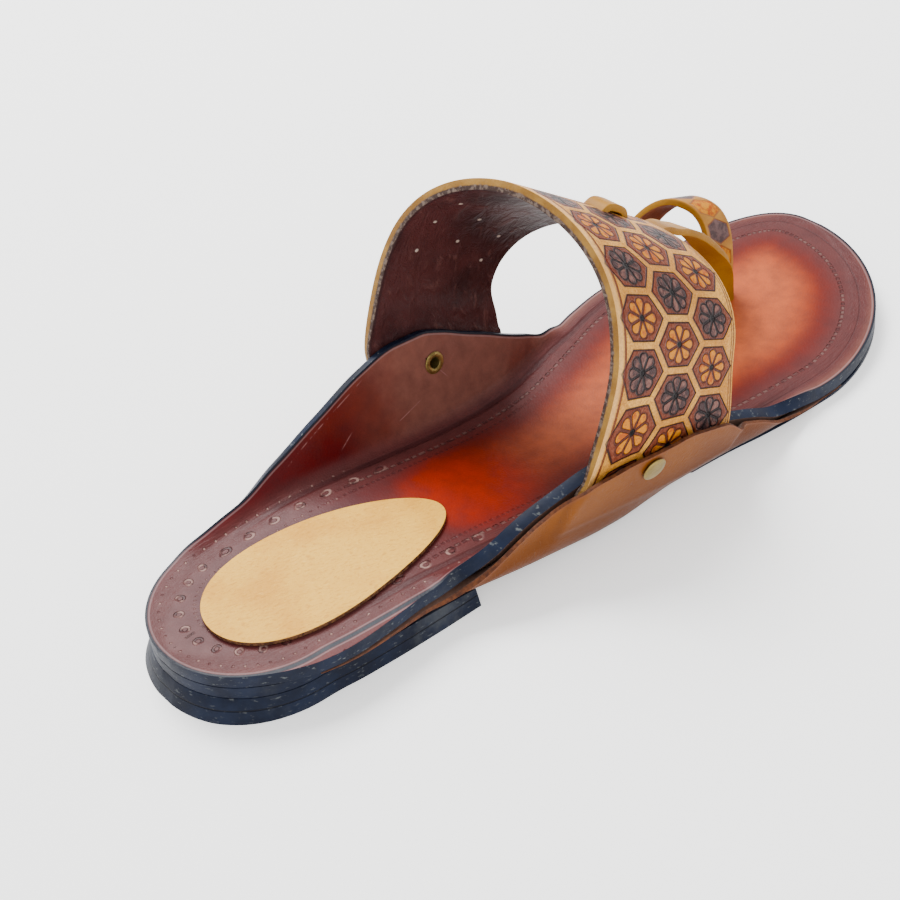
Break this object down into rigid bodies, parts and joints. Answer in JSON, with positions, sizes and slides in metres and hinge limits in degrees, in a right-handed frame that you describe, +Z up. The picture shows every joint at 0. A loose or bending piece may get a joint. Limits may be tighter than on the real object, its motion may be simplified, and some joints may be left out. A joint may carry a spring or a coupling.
{
  "type": "kolhapuri chappal",
  "caption": "Right-foot flat leather sandal with folded side wings, a tooled instep strap, a big-toe loop, a toe lace and a low stacked heel.",
  "frame": {"origin": "middle of the shoe's box in plan, on the floor it stands on", "axes": "+Y from heel to toe, +X to the outer (little toe) side, +Z up"},
  "size_m": [0.0984, 0.2836, 0.0965],
  "materials": {
    "outsole": "dyed navy-black, worn",
    "heel_block": "dyed navy-black stacked leather, waxed edge",
    "top_sole": "burnished maroon to orange-red, glossy",
    "ear": "smooth orange-tan, satin",
    "instep_strap": "hand-tooled pale tan, satin",
    "toe_loop": "hand-tooled tan, satin",
    "toe_lace": "ochre-brown, satin",
    "heel_pad": "natural pale tan, fine grain",
    "rivet": "dull brass"
  },
  "bodies": {
    "root": {"outsole": "outsole", "heel_block": "heel_block", "top_sole": "top_sole", "ear_lateral": "ear", "ear_medial": "ear", "instep_strap": "instep_strap", "toe_loop": "toe_loop", "toe_lace": "toe_lace", "heel_pad": "heel_pad", "rivet_lateral": "rivet", "rivet_medial": "rivet"}
  },
  "joints": []
}
